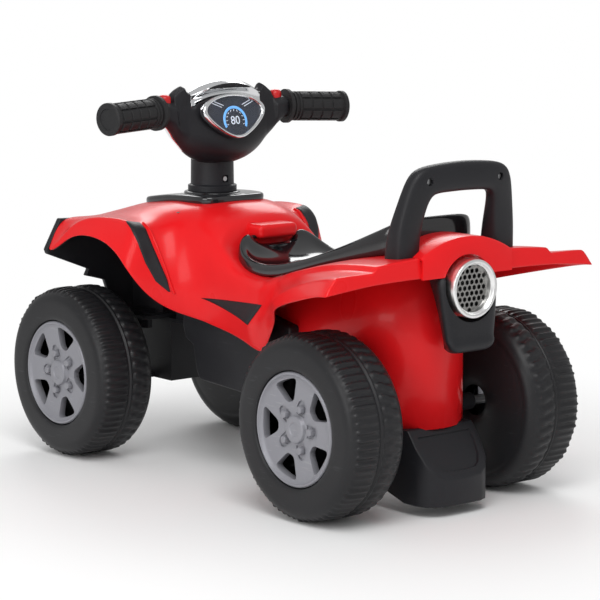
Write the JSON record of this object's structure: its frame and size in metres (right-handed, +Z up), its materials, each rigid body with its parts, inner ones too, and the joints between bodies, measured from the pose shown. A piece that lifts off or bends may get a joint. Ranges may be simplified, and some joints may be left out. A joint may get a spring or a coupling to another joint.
{
  "type": "ride-on quad bike",
  "caption": "Toddler's foot-to-floor ride-on quad: red moulded body, lift-up seat over a bin, steered front wheels, push handle and anti-tip foot.",
  "frame": {"origin": "on the ground under the middle of the overall box", "axes": "+X forward, +Y to the rider's left, +Z up"},
  "size_m": [0.6, 0.372, 0.42],
  "materials": {
    "red_plastic": "glossy moulded red",
    "black_plastic": "satin moulded black",
    "black_gloss": "polished black",
    "white_plastic": "natural nylon",
    "tyre_plastic": "blow-moulded black",
    "rim_grey": "satin grey",
    "chrome": "bright plating on plastic",
    "dark_mesh": "grey mesh",
    "steel": "zinc plated",
    "display": "printed dial",
    "clear_lens": "clear moulded window",
    "grip_rubber": "soft black",
    "battery_can": "printed can",
    "board_green": "solder resist",
    "red_button": "glossy red"
  },
  "bodies": {
    "chassis": {"body_shell": "red_plastic", "chassis_pan": "black_plastic", "front_grille": "black_plastic", "dash_plate": "black_gloss", "column_bush_upper": "white_plastic", "column_bush_lower": "white_plastic", "storage_bin": "black_plastic", "push_handle_front": "black_plastic", "push_handle_rear": "black_plastic", "push_handle_screws": "steel", "exhaust_housing": "black_plastic", "exhaust_ring": "chrome", "exhaust_grille": "dark_mesh", "anti_tip_foot": "black_plastic", "foot_screws": "steel", "body_screws": "steel", "seat_hinge_pins": "steel", "rear_axle": "steel", "rear_push_nuts": "steel", "rear_spacers": "black_plastic", "kingpins": "steel"},
    "seat_lid": {"seat": "black_gloss"},
    "link": {"steering_link": "black_plastic"},
    "steering": {"steering_neck": "black_plastic", "neck_screw": "steel", "steering_rod": "steel", "handlebar_rear_cover": "black_plastic", "handlebar_front_cover": "chrome", "dash_bezel": "chrome", "dash_dial": "display", "dash_lens": "clear_lens", "grip_left": "grip_rubber", "grip_right": "grip_rubber", "handlebar_tube": "steel", "battery_box": "black_plastic", "batteries": "battery_can", "circuit_board": "board_green", "speaker": "black_plastic", "handlebar_screws": "steel"},
    "button_left": {"button_left": "red_button"},
    "button_right": {"button_right": "red_button"},
    "knuckle_left": {"knuckle_left": "black_plastic", "stub_axle_left": "steel", "push_nut_left": "steel"},
    "knuckle_right": {"knuckle_right": "black_plastic", "stub_axle_right": "steel", "push_nut_right": "steel"},
    "wheel_front_left": {"tyre_front_left": "tyre_plastic", "rim_front_left": "rim_grey"},
    "wheel_front_right": {"tyre_front_right": "tyre_plastic", "rim_front_right": "rim_grey"},
    "wheel_rear_left": {"tyre_rear_left": "tyre_plastic", "rim_rear_left": "rim_grey"},
    "wheel_rear_right": {"tyre_rear_right": "tyre_plastic", "rim_rear_right": "rim_grey"}
  },
  "joints": [
    {"name": "steer", "type": "hinge", "parent": "chassis", "child": "steering", "pos_m": [0.122, 0, 0.3], "axis": [0, 0, 1], "range_deg": [-30, 30]},
    {"name": "link_shift", "type": "slide", "parent": "chassis", "child": "link", "axis": [0, 1, 0], "range_m": [-0.0126, 0.0126]},
    {"name": "seat_open", "type": "hinge", "parent": "chassis", "child": "seat_lid", "pos_m": [0.015, 0, 0.256], "axis": [0, 1, 0], "range_deg": [0, 40]},
    {"name": "knuckle_left_turn", "type": "hinge", "parent": "chassis", "child": "knuckle_left", "pos_m": [0.2055, 0.06, 0.0945], "axis": [0, 0, 1], "range_deg": [-18.5, 18.5]},
    {"name": "wheel_front_left_spin", "type": "hinge", "parent": "knuckle_left", "child": "wheel_front_left", "pos_m": [0.2055, 0.12, 0.0945], "axis": [0, 1, 0], "continuous": true},
    {"name": "wheel_rear_left_spin", "type": "hinge", "parent": "chassis", "child": "wheel_rear_left", "pos_m": [-0.2055, 0.12, 0.0945], "axis": [0, 1, 0], "continuous": true},
    {"name": "button_left_press", "type": "slide", "parent": "steering", "child": "button_left", "axis": [0, 0, -1], "range_m": [0, 0.0025], "stiffness_N_per_m": 200},
    {"name": "knuckle_right_turn", "type": "hinge", "parent": "chassis", "child": "knuckle_right", "pos_m": [0.2055, -0.06, 0.0945], "axis": [0, 0, 1], "range_deg": [-18.5, 18.5]},
    {"name": "wheel_front_right_spin", "type": "hinge", "parent": "knuckle_right", "child": "wheel_front_right", "pos_m": [0.2055, -0.12, 0.0945], "axis": [0, 1, 0], "continuous": true},
    {"name": "wheel_rear_right_spin", "type": "hinge", "parent": "chassis", "child": "wheel_rear_right", "pos_m": [-0.2055, -0.12, 0.0945], "axis": [0, 1, 0], "continuous": true},
    {"name": "button_right_press", "type": "slide", "parent": "steering", "child": "button_right", "axis": [0, 0, -1], "range_m": [0, 0.0025], "stiffness_N_per_m": 200}
  ],
  "couplings": [
    {"joint": "link_shift", "follows": "steer", "m_per_rad": -0.02387},
    {"joint": "knuckle_left_turn", "follows": "steer", "ratio": 0.607},
    {"joint": "knuckle_right_turn", "follows": "steer", "ratio": 0.607}
  ]
}
